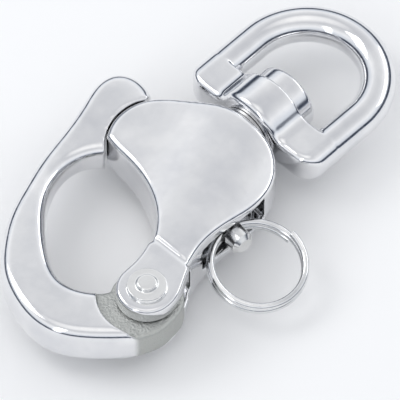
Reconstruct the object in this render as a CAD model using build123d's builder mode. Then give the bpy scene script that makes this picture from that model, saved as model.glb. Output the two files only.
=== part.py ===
from build123d import *
import math
import os

# Swivel-bail snap shackle in polished stainless steel.
# Frame: +X runs along the swivel axis towards the bail, +Y from the pull ring
# towards the locked hook tip, +Z through the thickness. The mid-plane is Z = 0.
# All dimensions are in millimetres. The shackle is drawn with X = Y = 0 on the
# swivel axis and moved at the end so that the origin is the middle of its box.

# ---- driving dimensions -------------------------------------------------
HINGE_X = -25.7               # hook hinge axis
HINGE_Y = -13.7
EAR_RADIUS = 5.35             # rounded end of the fork ears
EAR_HALF = 5.8                # half thickness over both ears
EAR_STEP_X = -17.3            # the ears end here and the crowned body begins
SLOT_HALF = 2.8               # half width of the slot between the ears
SLOT_RADIUS = 9.3             # depth of the slot, from the hinge axis

RIVET_RADIUS = 2.1
RIVET_HEAD_RADIUS = 3.7
RIVET_HEAD_RIM = 0.8          # height of the lower step of the head
RIVET_BUTTON_RADIUS = 1.9
RIVET_BUTTON = 0.7            # height of the upper step of the head

HOOK_HALF = 4.0               # half thickness of the hook crown
TONGUE_HALF = 2.6             # half thickness of the hook tongue
TONGUE_RADIUS = 6.4
SHOULDER_RADIUS = 8.7         # the hook is at full thickness outside this
SEAT_X = -1.0                 # centre of the round body end that the hook cups
SEAT_Y = 7.1
SEAT_RADIUS = 9.35
SEAT_GAP = 0.25

PLUNGER_LEAN = 8.0            # degrees the plunger axis leans from +Y towards +X
PLUNGER_X = -2.46             # where the plunger axis crosses Y = 0
STEM_RADIUS = 2.15
STEM_END = -17.0
GUIDE_RADIUS = 3.05
GUIDE_START = 8.0
GUIDE_END = 15.6
NOSE_END = 19.3
BORE_RADIUS = 3.10
BORE_START = -4.0
NOSE_HOLE_RADIUS = 2.35
NOSE_HOLE_END = 20.0
SPRING_WIRE = 0.6
SPRING_RADIUS = 2.65          # mean radius of the spring coil
SPRING_TURNS = 7

RING_WIRE = 1.3
RING_DROOP = 13.0             # degrees the ring hangs below the mid-plane
RING_RADIUS = 8.2             # mean radius of the split ring
RING_PITCH = 1.33
RING_HOLE_RADIUS = 1.7
RING_HOLE_AT = -12.6          # along the plunger axis
POCKET_START = -9.5
POCKET_HALF_WIDTH = 7.7

STUD_RADIUS = 3.2
STUD_START = 3.0
STUD_HEAD_RADIUS = 6.1
STUD_HEAD_LENGTH = 3.8
BAIL_BORE_RADIUS = 3.25
BAIL_FACE_X = 13.2            # bail face next to the body
BAIL_INNER_X = 20.3           # bail face next to the stud head
BAIL_BAR_RADIUS = 3.15
BAIL_LEG_Y = 12.35            # leg centre line
BAIL_OUTER_Y = BAIL_LEG_Y + BAIL_BAR_RADIUS
BAIL_CROWN_X = 28.45          # centre of the round crown
BOSS_RADIUS = 7.4
COLLAR_FACE_X = 12.55
COLLAR_RADIUS = 5.2
WASHER_THICKNESS = 0.5
WASHER_RADIUS = 5.0

LEAN = math.radians(PLUNGER_LEAN)
PLUNGER_AXIS = Vector(math.sin(LEAN), math.cos(LEAN), 0)
PLUNGER_SIDE = Vector(math.cos(LEAN), -math.sin(LEAN), 0)


def plunger_plane(distance):
    """Plane square to the plunger axis; its local Y is the thickness direction."""
    origin = Vector(PLUNGER_X, 0, 0) + PLUNGER_AXIS * distance
    return Plane(origin=origin, x_dir=PLUNGER_SIDE, z_dir=PLUNGER_AXIS)


def swivel_plane(x):
    """Plane square to the swivel axis; its local X is +Y."""
    return Plane(origin=(x, 0, 0), x_dir=(0, 1, 0), z_dir=(1, 0, 0))


def level_plane(z):
    """Plane parallel to the mid-plane."""
    return Plane(origin=(0, 0, z), x_dir=(1, 0, 0), z_dir=(0, 0, 1))


# ---- cast body: crowned plate, fork ears, plunger barrel and swivel collar ----
RIDGE_ANGLE = 20.0            # degrees from +X
# half thickness of the casting at distances across the ridge
CROWN = [(-20, 2.0), (-12, 2.9), (-9.5, 3.7), (-6.8, 4.9), (-3.5, 5.8), (0, 6.1), (4.5, 5.9),
         (9.5, 5.1), (15, 4.6), (24, 4.3)]
END_LEFT = (-6.55, 14.60)
END_TOP = (SEAT_X, SEAT_Y + SEAT_RADIUS)
END_RIGHT = (4.35, 14.75)

with BuildPart() as body:
    with BuildSketch():
        with BuildLine():
            ThreePointArc(END_RIGHT, END_TOP, END_LEFT)
            Spline(END_LEFT, (-7.3, 11.0), (-7.8, 7.4), (-8.8, 3.8), (-10.6, 0.0),
                   (-13.4, -3.8), (-17.3, -7.0), (-21.5, -9.2), (HINGE_X, HINGE_Y + 3.5))
            ThreePointArc((HINGE_X, HINGE_Y + 3.5), (HINGE_X - 3.5, HINGE_Y),
                          (HINGE_X, HINGE_Y - 3.5))
            Spline((HINGE_X, HINGE_Y - 3.5), (-21.2, -16.6), (-17.3, -15.4),
                   (-12.5, -14.0), (-7.0, -13.7), (-1.5, -14.1), (3.6, -13.7), (8.2, -11.7),
                   (11.2, -8.0), (12.2, -3.5), (12.2, 1.0), (11.2, 4.8), (9.2, 8.6), (7.0, 12.0),
                   END_RIGHT)
        make_face()
    extrude(amount=7, both=True)
    # crowned section, drawn across the thick ridge that runs from the fork to the swivel
    ridge = math.radians(RIDGE_ANGLE)
    across = Plane(origin=(COLLAR_FACE_X, 0, 0), x_dir=(-math.sin(ridge), math.cos(ridge), 0),
                   z_dir=(math.cos(ridge), math.sin(ridge), 0))
    with BuildSketch(across):
        with BuildLine():
            Spline(*CROWN)
            Line(CROWN[-1], (CROWN[-1][0], -CROWN[-1][1]))
            Spline(*[(v, -h) for v, h in reversed(CROWN)])
            Line((CROWN[0][0], -CROWN[0][1]), CROWN[0])
        make_face()
    extrude(amount=80, both=True, mode=Mode.INTERSECT)
    rims = body.edges().filter_by(lambda e: abs(e.center().Z) > 2.0 and e.length > 6)
    fillet(rims, 1.2)
    # the crown is cut down where the flat ears begin
    for z in (EAR_HALF - 0.1, -EAR_HALF + 0.1 - 3):
        with BuildSketch(level_plane(z)):
            with Locations((EAR_STEP_X + 0.4 - 10, HINGE_Y)):
                Rectangle(20, 30)
        extrude(amount=3, mode=Mode.SUBTRACT)
    # fork ears
    with BuildPart(mode=Mode.PRIVATE) as ears:
        with BuildSketch(level_plane(-EAR_HALF)):
            with BuildLine():
                Line((EAR_STEP_X, -15.8), (EAR_STEP_X, -6.6))
                Spline((EAR_STEP_X, -6.6), (-21.5, -8.0), (HINGE_X, HINGE_Y + EAR_RADIUS),
                       tangents=((-1, -0.4), (-1, 0)))
                ThreePointArc((HINGE_X, HINGE_Y + EAR_RADIUS), (HINGE_X - EAR_RADIUS, HINGE_Y),
                              (HINGE_X, HINGE_Y - EAR_RADIUS))
                Spline((HINGE_X, HINGE_Y - EAR_RADIUS), (-21.2, -17.8), (EAR_STEP_X, -15.8),
                       tangents=((1, 0), (1, 0.45)))
            make_face()
        extrude(amount=2 * EAR_HALF)
        fillet(ears.edges().filter_by(Axis.Z).group_by(Axis.X)[-1], 1.4)
        fillet(ears.edges().filter_by(lambda e: abs(e.center().Z) > EAR_HALF - 0.1), 0.7)
    add(ears.part)
    # collar under the swivel bail
    with BuildSketch(swivel_plane(8.0)):
        Circle(COLLAR_RADIUS)
    extrude(amount=COLLAR_FACE_X - 8.0)
    # slot for the hook tongue
    with BuildSketch(level_plane(-SLOT_HALF)):
        with Locations((HINGE_X, HINGE_Y)):
            Circle(SLOT_RADIUS)
    extrude(amount=2 * SLOT_HALF, mode=Mode.SUBTRACT)
    # pocket that lets the split ring lie flat
    with BuildSketch(plunger_plane(POCKET_START)):
        Rectangle(2 * POCKET_HALF_WIDTH, 2 * SLOT_HALF)
    extrude(amount=-12, mode=Mode.SUBTRACT)
    # plunger bore, stem bore, rivet hole and stud hole
    with BuildSketch(plunger_plane(BORE_START)):
        Circle(BORE_RADIUS)
    extrude(amount=30, mode=Mode.SUBTRACT)
    with BuildSketch(plunger_plane(-20)):
        Circle(STEM_RADIUS + 0.05)
    extrude(amount=20, mode=Mode.SUBTRACT)
    with BuildSketch(level_plane(-10)):
        with Locations((HINGE_X, HINGE_Y)):
            Circle(RIVET_RADIUS)
    extrude(amount=20, mode=Mode.SUBTRACT)
    with BuildSketch(swivel_plane(STUD_START)):
        Circle(STUD_RADIUS)
    extrude(amount=20, mode=Mode.SUBTRACT)
body.part.label = "body"

# ---- hook: flat crown, slim arm, cupped tip and hinge tongue ------------------
with BuildPart() as hook:
    with BuildSketch():
        with BuildLine():
            Spline((5.6, 15.6), (6.5, 18.6), (6.2, 21.0), (4.6, 23.2), (1.8, 24.1), (-4.0, 22.9),
                   (-10.5, 21.5), (-17.0, 20.2), (-23.5, 18.0), (-29.1, 15.7), (-34.3, 12.4),
                   (-39.2, 7.7), (-41.9, 2.2), (-42.9, -3.8), (-41.8, -8.6), (-39.8, -11.8),
                   (-36.4, -15.6), (-33.2, -18.4), (-30.0, -20.0),
                   (HINGE_X, HINGE_Y - TONGUE_RADIUS))
            Line((HINGE_X, HINGE_Y - TONGUE_RADIUS), (-25.0, -10.0))
            Line((-25.0, -10.0), (-29.0, -8.2))
            Spline((-29.0, -8.2), (-32.2, -5.1), (-33.4, -0.8), (-31.7, 3.6), (-28.4, 7.9),
                   (-24.2, 12.0), (-19.2, 14.9), (-13.9, 15.7), (-8.9, 13.2))
            Line((-8.9, 13.2), (-1.0, 14.0))
            Line((-1.0, 14.0), (5.6, 15.6))
        make_face()
    extrude(amount=8, both=True)
    # thickness along the hook: full at the crown, slim arm, fuller tip
    with BuildSketch(Plane.XZ):
        with BuildLine():
            Spline((-45, 3.9), (-34, 4.0), (-22, 3.3), (-11, 2.95), (-4, 3.7), (2, 4.1), (8, 3.4))
            Line((8, 3.4), (8, -3.4))
            Spline((8, -3.4), (2, -4.1), (-4, -3.7), (-11, -2.95), (-22, -3.3), (-34, -4.0),
                   (-45, -3.9))
            Line((-45, -3.9), (-45, 3.9))
        make_face()
    extrude(amount=40, both=True, mode=Mode.INTERSECT)
    rims = hook.edges().filter_by(lambda e: abs(e.center().Z) > 2.0 and e.length > 12)
    fillet(rims, 1.9)
    # circular shoulder beside the ears
    for z in (TONGUE_HALF, -TONGUE_HALF - 6):
        with BuildSketch(level_plane(z)):
            with Locations((HINGE_X, HINGE_Y)):
                Circle(SHOULDER_RADIUS)
        extrude(amount=6, mode=Mode.SUBTRACT)
    with BuildSketch(level_plane(-TONGUE_HALF)):
        with Locations((HINGE_X, HINGE_Y)):
            Circle(TONGUE_RADIUS)
    extrude(amount=2 * TONGUE_HALF)
    # concave seat round the body end, then the hole for the plunger nose
    with BuildSketch(level_plane(-8)):
        with Locations((SEAT_X, SEAT_Y)):
            Circle(SEAT_RADIUS + SEAT_GAP)
    extrude(amount=16, mode=Mode.SUBTRACT)
    with BuildSketch(plunger_plane(10)):
        Circle(NOSE_HOLE_RADIUS)
    extrude(amount=NOSE_HOLE_END - 10, mode=Mode.SUBTRACT)
    with BuildSketch(level_plane(-10)):
        with Locations((HINGE_X, HINGE_Y)):
            Circle(RIVET_RADIUS + 0.05)
    extrude(amount=20, mode=Mode.SUBTRACT)
hook.part.label = "hook"

# ---- hinge rivet with a stepped head on both faces ---------------------------
with BuildPart() as hinge_pin:
    with BuildSketch(level_plane(-EAR_HALF)):
        with Locations((HINGE_X, HINGE_Y)):
            Circle(RIVET_RADIUS)
    extrude(amount=2 * EAR_HALF)
    for side in (1, -1):
        with BuildSketch(level_plane(side * EAR_HALF)):
            with Locations((HINGE_X, HINGE_Y)):
                Circle(RIVET_HEAD_RADIUS)
        extrude(amount=side * RIVET_HEAD_RIM, taper=20)
        with BuildSketch(level_plane(side * (EAR_HALF + RIVET_HEAD_RIM))):
            with Locations((HINGE_X, HINGE_Y)):
                Circle(RIVET_BUTTON_RADIUS)
        extrude(amount=side * RIVET_BUTTON, taper=20)
hinge_pin.part.label = "hinge_pin"

ring_hole = Vector(PLUNGER_X, 0, 0) + PLUNGER_AXIS * RING_HOLE_AT

# ---- spring plunger -----------------------------------------------------------
with BuildPart() as plunger:
    with BuildSketch(plunger_plane(STEM_END)):
        Circle(STEM_RADIUS)
    extrude(amount=NOSE_END - STEM_END)
    chamfer(plunger.edges().filter_by(GeomType.CIRCLE), 0.7)
    with BuildSketch(plunger_plane(GUIDE_START)):
        Circle(GUIDE_RADIUS)
    extrude(amount=GUIDE_END - GUIDE_START)
    # cross hole for the split ring
    with BuildSketch(Plane(origin=ring_hole, x_dir=(0, 0, 1), z_dir=PLUNGER_SIDE)):
        Circle(RING_HOLE_RADIUS)
    extrude(amount=5, both=True, mode=Mode.SUBTRACT)
plunger.part.label = "plunger"

# ---- plunger spring -----------------------------------------------------------
spring_start = BORE_START + SPRING_WIRE / 2 + 0.05
spring_height = GUIDE_START - BORE_START - SPRING_WIRE - 0.1
with BuildPart() as plunger_spring:
    with BuildLine():
        coil = Helix(pitch=spring_height / SPRING_TURNS, height=spring_height,
                     radius=SPRING_RADIUS, center=plunger_plane(spring_start).origin,
                     direction=PLUNGER_AXIS)
    with BuildSketch(Plane(origin=coil @ 0, z_dir=coil % 0)):
        Circle(SPRING_WIRE / 2)
    sweep(is_frenet=True)
plunger_spring.part.label = "plunger_spring"

# ---- split ring: two turns of wire through the plunger ------------------------
with BuildPart() as split_ring:
    ring_plane = Plane(origin=ring_hole - PLUNGER_AXIS * RING_RADIUS - Vector(0, 0, RING_PITCH),
                       x_dir=PLUNGER_AXIS * -1, z_dir=(0, 0, 1))
    with BuildLine(ring_plane):
        turns = Helix(pitch=RING_PITCH, height=2 * RING_PITCH, radius=RING_RADIUS)
    with BuildSketch(Plane(origin=turns @ 0, z_dir=turns % 0)):
        Circle(RING_WIRE / 2)
    sweep(is_frenet=True)
split_ring.part = split_ring.part.rotate(Axis(ring_hole, PLUNGER_SIDE), RING_DROOP)
split_ring.part.label = "split_ring"

# ---- headed swivel stud, pressed into the body --------------------------------
with BuildPart() as swivel_stud:
    with BuildSketch(swivel_plane(STUD_START)):
        Circle(STUD_RADIUS)
    extrude(amount=BAIL_INNER_X + 0.1 - STUD_START)
    with BuildSketch(swivel_plane(BAIL_INNER_X + 0.1)):
        Circle(STUD_HEAD_RADIUS)
    extrude(amount=STUD_HEAD_LENGTH)
    fillet(swivel_stud.faces().sort_by(Axis.X)[-1].edges(), 0.8)
swivel_stud.part.label = "swivel_stud"

with BuildPart() as thrust_washer:
    with BuildSketch(swivel_plane(COLLAR_FACE_X + 0.05)):
        Circle(WASHER_RADIUS)
        Circle(BAIL_BORE_RADIUS, mode=Mode.SUBTRACT)
    extrude(amount=WASHER_THICKNESS)
thrust_washer.part.label = "thrust_washer"

# ---- swivel bail: D-shaped loop with a round boss -----------------------------
with BuildPart() as swivel_bail:
    with BuildLine():
        Line((BAIL_INNER_X - 3, BAIL_LEG_Y), (BAIL_CROWN_X, BAIL_LEG_Y))
        ThreePointArc((BAIL_CROWN_X, BAIL_LEG_Y), (BAIL_CROWN_X + BAIL_LEG_Y, 0),
                      (BAIL_CROWN_X, -BAIL_LEG_Y))
        Line((BAIL_CROWN_X, -BAIL_LEG_Y), (BAIL_INNER_X - 3, -BAIL_LEG_Y))
    with BuildSketch(swivel_plane(BAIL_INNER_X - 3)):
        with Locations((BAIL_LEG_Y, 0)):
            Circle(BAIL_BAR_RADIUS)
    sweep()
    # cross bar whose top and bottom swell smoothly into the round boss
    with BuildPart(mode=Mode.PRIVATE) as bar:
        with BuildSketch(swivel_plane(BAIL_FACE_X)) as saddle:
            Rectangle(2 * BAIL_OUTER_Y, 2 * BAIL_BAR_RADIUS)
            Circle(BOSS_RADIUS)
            fillet([v for v in saddle.vertices() if abs(v.Y) < BOSS_RADIUS], 3.0)
        extrude(amount=BAIL_INNER_X - BAIL_FACE_X)
        with BuildSketch(level_plane(-9)):
            with Locations((BAIL_FACE_X + 10, 0)):
                RectangleRounded(20, 2 * BAIL_OUTER_Y, 4.5)
        extrude(amount=18, mode=Mode.INTERSECT)
        fillet(bar.faces().sort_by(Axis.X)[0].edges(), 1.3)
    add(bar.part)
    with BuildSketch(swivel_plane(5)):
        Circle(BAIL_BORE_RADIUS)
    extrude(amount=BAIL_INNER_X - 5, mode=Mode.SUBTRACT)
swivel_bail.part.label = "swivel_bail"

os.makedirs("parts", exist_ok=True)
MIDDLE = Location((-0.52, 2.54, 0))
for built in (body, hook, hinge_pin, plunger, plunger_spring, split_ring, swivel_stud,
              thrust_washer, swivel_bail):
    placed = built.part.moved(MIDDLE)
    placed.label = built.part.label
    box = placed.bounding_box()
    print(placed.label, placed.is_valid, round(placed.volume, 1), box.min, box.max)
    export_step(placed, "parts/" + placed.label + ".step")
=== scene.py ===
# Studio scene for the swivel snap shackle: polished stainless steel on a pale floor.
import math

import bpy
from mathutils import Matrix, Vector


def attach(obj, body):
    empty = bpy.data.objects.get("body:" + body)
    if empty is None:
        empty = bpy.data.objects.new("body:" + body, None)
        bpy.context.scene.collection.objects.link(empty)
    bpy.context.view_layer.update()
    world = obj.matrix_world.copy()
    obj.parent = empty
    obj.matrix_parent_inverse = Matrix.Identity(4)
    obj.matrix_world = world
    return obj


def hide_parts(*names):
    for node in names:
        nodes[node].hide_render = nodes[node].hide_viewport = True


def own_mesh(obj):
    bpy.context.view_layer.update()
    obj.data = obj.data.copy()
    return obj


# ---- driving values, in metres and degrees --------------------------------------
CAMERA_AZIMUTH = -46.1
CAMERA_ELEVATION = 53.6
CAMERA_DISTANCE = 1.6             # far off, so that the view has next to no perspective
CAMERA_RIGHT = -0.0011            # shift of the aim across the picture
CAMERA_UP = -0.0032               # and up it
CAMERA_CLIP = 0.01
FRAME_WIDTH = 0.0690              # width of the picture at the object
SENSOR_WIDTH = 36.0               # millimetres
EXPOSURE = 0.22
SKY_STRENGTH = 0.95

FLOOR_Z = -0.0078
FLOOR_SIZE = 3.0
FLOOR_COLOUR = (0.95, 0.95, 0.95, 1.0)
FLOOR_ROUGHNESS = 0.6

HINGE = Vector((-0.02622, -0.01116, 0.0))        # the hook's hinge axis
HINGE_SHADE_RADIUS = 0.0087                         # radius of the painted shade round it
EDGE_ANGLE = 35.0                                # sharper edges than this stay crisp

# sockets of the colour mix node
MIX_FACTOR, MIX_DARK, MIX_LIGHT, MIX_RESULT = 0, 6, 7, 2

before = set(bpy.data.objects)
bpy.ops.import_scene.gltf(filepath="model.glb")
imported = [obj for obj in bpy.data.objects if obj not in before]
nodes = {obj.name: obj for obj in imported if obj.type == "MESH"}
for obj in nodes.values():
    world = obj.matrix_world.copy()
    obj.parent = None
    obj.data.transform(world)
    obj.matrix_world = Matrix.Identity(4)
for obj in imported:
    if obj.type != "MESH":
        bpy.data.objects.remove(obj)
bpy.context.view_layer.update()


# ---- materials -------------------------------------------------------------------
class Graph:
    """A short way to build one procedural material."""

    def __init__(self, name):
        self.material = bpy.data.materials.new(name)
        self.material.use_nodes = True
        self.tree = self.material.node_tree
        self.shader = self.tree.nodes["Principled BSDF"]
        self.place = self.add("ShaderNodeTexCoord").outputs["Object"]

    def add(self, kind, **settings):
        node = self.tree.nodes.new(kind)
        for key, value in settings.items():
            setattr(node, key, value)
        return node

    def link(self, source, target):
        self.tree.links.new(source, target)

    def noise(self, scale, detail=4.0, stretch=None):
        node = self.add("ShaderNodeTexNoise")
        node.inputs["Scale"].default_value = scale
        node.inputs["Detail"].default_value = detail
        source = self.place
        if stretch is not None:
            mapping = self.add("ShaderNodeMapping")
            mapping.inputs["Scale"].default_value = stretch
            self.link(self.place, mapping.inputs["Vector"])
            source = mapping.outputs["Vector"]
        self.link(source, node.inputs["Vector"])
        return node.outputs["Fac"]

    def spread(self, source, low, high, start=0.0, end=1.0):
        node = self.add("ShaderNodeMapRange")
        node.inputs["From Min"].default_value = start
        node.inputs["From Max"].default_value = end
        node.inputs["To Min"].default_value = low
        node.inputs["To Max"].default_value = high
        self.link(source, node.inputs["Value"])
        return node.outputs["Result"]

    def mix(self, factor, dark, light):
        node = self.add("ShaderNodeMix", data_type="RGBA")
        node.inputs[MIX_DARK].default_value = dark
        node.inputs[MIX_LIGHT].default_value = light
        self.link(factor, node.inputs[MIX_FACTOR])
        return node.outputs[MIX_RESULT]

    def combine(self, operation, first, second):
        node = self.add("ShaderNodeMath", operation=operation)
        for socket, value in zip(node.inputs, (first, second)):
            if isinstance(value, float):
                socket.default_value = value
            else:
                self.link(value, socket)
        return node.outputs["Value"]

    def bump(self, height, distance, strength=1.0, below=None):
        node = self.add("ShaderNodeBump")
        node.inputs["Distance"].default_value = distance
        node.inputs["Strength"].default_value = strength
        self.link(height, node.inputs["Height"])
        if below is not None:
            self.link(below, node.inputs["Normal"])
        return node.outputs["Normal"]


TONE_SCALE = 180.0                # slow drift of the colour
MARKS_SCALE = 900.0               # polish marks, which vary the roughness
WAVE_SCALE = 70.0                 # soft undulation of a casting
PITS_SCALE = 2600.0               # fine pits
NOISE_CORE = (0.3, 0.7)           # most of a noise texture's values lie between these


def steel(name, dark, light, gloss, wave, pits, stretch=None):
    """Stainless steel: soft cast undulation, fine polish marks and slight tone drift.
    gloss is the range of roughness, wave and pits are depths in metres, and stretch
    draws the marks out along the axes whose factor is small."""
    graph = Graph(name)
    shader = graph.shader
    shader.inputs["Metallic"].default_value = 1.0
    tone = graph.spread(graph.noise(TONE_SCALE, 3.0), 0.0, 1.0, *NOISE_CORE)
    graph.link(graph.mix(tone, dark, light), shader.inputs["Base Color"])
    marks = graph.noise(MARKS_SCALE, 6.0, stretch)
    graph.link(graph.spread(marks, *gloss, *NOISE_CORE), shader.inputs["Roughness"])
    waves = graph.bump(graph.noise(WAVE_SCALE, 0.6), wave)
    fine = graph.bump(graph.noise(PITS_SCALE, 3.0, stretch), pits, 1.0, waves)
    graph.link(fine, shader.inputs["Normal"])
    return graph


# painted shade on the hook round the hinge: its darker colour, and the roughness, grain and soft
# edge of that patch
HINGE_SHADE_COLOUR = (0.50, 0.51, 0.49, 1.0)
HINGE_ROUGHNESS = 0.42
HINGE_GRAIN_SCALE = 2200.0
HINGE_GRAIN_DEPTH = 0.00022
HINGE_SHADE_EDGE = (HINGE_SHADE_RADIUS - 0.0001, HINGE_SHADE_RADIUS + 0.0003)


def paint_hinge_shade(graph):
    """Painted shade: a darker grey on the hook round the hinge, where it sits between the body's
    ears; the steel there is also grainier and duller.
    """
    shader = graph.shader
    offset = graph.add("ShaderNodeVectorMath", operation="SUBTRACT")
    graph.link(graph.place, offset.inputs[0])
    offset.inputs[1].default_value = HINGE
    flat = graph.add("ShaderNodeVectorMath", operation="MULTIPLY")
    graph.link(offset.outputs["Vector"], flat.inputs[0])
    flat.inputs[1].default_value = (1.0, 1.0, 0.0)
    length = graph.add("ShaderNodeVectorMath", operation="LENGTH")
    graph.link(flat.outputs["Vector"], length.inputs[0])
    inside = graph.spread(length.outputs["Value"], 1.0, 0.0, *HINGE_SHADE_EDGE)
    colour = shader.inputs["Base Color"].links[0].from_socket
    rough = shader.inputs["Roughness"].links[0].from_socket
    normal = shader.inputs["Normal"].links[0].from_socket
    grain = graph.noise(HINGE_GRAIN_SCALE, 8.0)
    blend = graph.add("ShaderNodeMix", data_type="RGBA")
    blend.inputs[MIX_LIGHT].default_value = HINGE_SHADE_COLOUR
    graph.link(inside, blend.inputs[MIX_FACTOR])
    graph.link(colour, blend.inputs[MIX_DARK])
    graph.link(blend.outputs[MIX_RESULT], shader.inputs["Base Color"])
    dull = graph.combine("MULTIPLY", inside, HINGE_ROUGHNESS)
    graph.link(graph.combine("MAXIMUM", rough, dull), shader.inputs["Roughness"])
    grain_bump = graph.bump(graph.combine("MULTIPLY", grain, inside), HINGE_GRAIN_DEPTH, 1.0, normal)
    graph.link(grain_bump, shader.inputs["Normal"])


CLEAN = (0.88, 0.88, 0.885, 1.0)
SHADE = (0.76, 0.765, 0.785, 1.0)
cast_steel = steel("cast_steel", SHADE, CLEAN, (0.07, 0.15), 0.00028, 0.000006)
hook_steel = steel("hook_steel", SHADE, CLEAN, (0.07, 0.16), 0.00025, 0.000006)
# darker painted shade on the hook round the hinge, between the body's ears
paint_hinge_shade(hook_steel)
bail_steel = steel("bail_steel", SHADE, CLEAN, (0.06, 0.14), 0.00018, 0.000005)
turned_steel = steel("turned_steel", (0.74, 0.74, 0.73, 1.0), (0.88, 0.88, 0.87, 1.0),
                     (0.12, 0.24), 0.00004, 0.000008, (1.0, 6.0, 1.0))
rivet_steel = steel("rivet_steel", (0.80, 0.80, 0.79, 1.0), (0.92, 0.92, 0.91, 1.0),
                    (0.10, 0.22), 0.0001, 0.000010)
stud_steel = steel("stud_steel", SHADE, CLEAN, (0.08, 0.16), 0.00006, 0.000006, (6.0, 1.0, 1.0))
wire_steel = steel("wire_steel", (0.66, 0.67, 0.68, 1.0), (0.90, 0.90, 0.90, 1.0),
                   (0.08, 0.20), 0.00003, 0.000006)
spring_steel = steel("spring_steel", (0.50, 0.50, 0.50, 1.0), (0.72, 0.72, 0.71, 1.0),
                     (0.2, 0.35), 0.00002, 0.00001)
# the thrust washer is darker than the other steel: painted shade in the gap between body and
# bail
washer_steel_painted_shade = steel("washer_steel_painted_shade", (0.45, 0.45, 0.46, 1.0), (0.66, 0.66, 0.66, 1.0),
                     (0.25, 0.4), 0.00002, 0.00001)

FINISHES = {
    "body": cast_steel,
    "hook": hook_steel,
    "hinge_pin": rivet_steel,
    "plunger": turned_steel,
    "plunger_spring": spring_steel,
    "split_ring": wire_steel,
    "swivel_stud": stud_steel,
    "thrust_washer": washer_steel_painted_shade,
    "swivel_bail": bail_steel,
}
for name, graph in FINISHES.items():
    mesh = nodes[name].data
    mesh.materials.clear()
    mesh.materials.append(graph.material)


# ---- softened castings -------------------------------------------------------------
def soften(name, voxel, rounds):
    """Rounds every edge of a casting a little, the way tumbling and polishing do."""
    obj = nodes[name]
    remesh = obj.modifiers.new("remesh", "REMESH")
    remesh.mode = "VOXEL"
    remesh.voxel_size = voxel
    remesh.use_smooth_shade = True
    smooth = obj.modifiers.new("smooth", "SMOOTH")
    smooth.factor = 0.5
    smooth.iterations = rounds


# node, voxel size in metres, rounds of smoothing
SOFTENED = [("body", 0.00022, 7), ("hook", 0.00024, 8), ("swivel_bail", 0.00022, 6),
            ("hinge_pin", 0.00012, 4), ("swivel_stud", 0.00018, 3)]
for name, voxel, rounds in SOFTENED:
    soften(name, voxel, rounds)
for name in ("plunger", "split_ring", "plunger_spring", "thrust_washer"):
    nodes[name].data.shade_smooth()
    nodes[name].modifiers.new("edges", "EDGE_SPLIT").split_angle = math.radians(EDGE_ANGLE)

# The spring is drawn again as its own piece, because it shortens when the plunger is pulled.
spring = bpy.data.objects.new("spring_coil", nodes["plunger_spring"].data.copy())
bpy.context.collection.objects.link(spring)
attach(spring, "body")
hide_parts("plunger_spring")
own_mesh(spring)


# ---- floor, lights and camera ---------------------------------------------------------
floor_paint = bpy.data.materials.new("floor_paint")
floor_paint.use_nodes = True
paint = floor_paint.node_tree.nodes["Principled BSDF"]
paint.inputs["Base Color"].default_value = FLOOR_COLOUR
paint.inputs["Roughness"].default_value = FLOOR_ROUGHNESS
bpy.ops.mesh.primitive_plane_add(size=FLOOR_SIZE, location=(0.0, 0.0, FLOOR_Z))
floor = bpy.context.object
floor.name = "floor"
floor.data.materials.append(floor_paint)


def lamp(name, place, width, height, power, tint=(1.0, 1.0, 1.0)):
    """A rectangular lamp that faces the middle of the shackle."""
    data = bpy.data.lights.new(name, "AREA")
    data.shape = "RECTANGLE"
    data.size = width
    data.size_y = height
    data.energy = power
    data.color = tint
    obj = bpy.data.objects.new(name, data)
    bpy.context.collection.objects.link(obj)
    obj.location = place
    obj.rotation_euler = (-Vector(place)).to_track_quat("-Z", "Y").to_euler()


lamp("key", (-0.16, 0.34, 0.40), 0.24, 0.30, 0.42)
lamp("left_bank", (-0.46, -0.06, 0.26), 0.10, 0.44, 0.20, (0.97, 0.98, 1.0))
lamp("right_bank", (0.44, -0.10, 0.24), 0.44, 0.12, 0.22)

world = bpy.data.worlds.new("studio")
bpy.context.scene.world = world
world.use_nodes = True
sky = world.node_tree
background = sky.nodes["Background"]
coords = sky.nodes.new("ShaderNodeTexCoord")
split = sky.nodes.new("ShaderNodeSeparateXYZ")
ramp = sky.nodes.new("ShaderNodeValToRGB")
# sine of the height above the horizon, and the sky's colour there; below the horizon
# it keeps the first colour
STOPS = [(0.00, (0.42, 0.46, 0.55)), (0.08, (0.03, 0.04, 0.06)), (0.22, (0.06, 0.07, 0.10)),
         (0.34, (0.70, 0.74, 0.80)), (0.62, (0.92, 0.93, 0.95)), (0.78, (0.74, 0.75, 0.77)),
         (0.90, (0.62, 0.63, 0.66)), (1.00, (1.00, 1.00, 1.00))]
elements = ramp.color_ramp.elements
elements[0].position, elements[0].color = STOPS[0][0], (*STOPS[0][1], 1.0)
elements[1].position, elements[1].color = STOPS[-1][0], (*STOPS[-1][1], 1.0)
for position, colour in STOPS[1:-1]:
    elements.new(position).color = (*colour, 1.0)
sky.links.new(coords.outputs["Generated"], split.inputs["Vector"])
sky.links.new(split.outputs["Z"], ramp.inputs["Fac"])
sky.links.new(ramp.outputs["Color"], background.inputs["Color"])
background.inputs["Strength"].default_value = SKY_STRENGTH

azimuth = math.radians(CAMERA_AZIMUTH)
elevation = math.radians(CAMERA_ELEVATION)
back = Vector((math.sin(azimuth) * math.cos(elevation), -math.cos(azimuth) * math.cos(elevation),
               math.sin(elevation)))
camera_data = bpy.data.cameras.new("camera")
camera = bpy.data.objects.new("camera", camera_data)
bpy.context.collection.objects.link(camera)
right = Vector((math.cos(azimuth), math.sin(azimuth), 0.0))
target = right * CAMERA_RIGHT + back.cross(right) * CAMERA_UP
camera.location = target + back * CAMERA_DISTANCE
camera.rotation_euler = (-back).to_track_quat("-Z", "Y").to_euler()
camera_data.sensor_width = SENSOR_WIDTH
camera_data.lens = SENSOR_WIDTH * CAMERA_DISTANCE / FRAME_WIDTH
camera_data.clip_start = CAMERA_CLIP
bpy.context.scene.camera = camera
bpy.context.scene.view_settings.view_transform = "Standard"
bpy.context.scene.view_settings.exposure = EXPOSURE
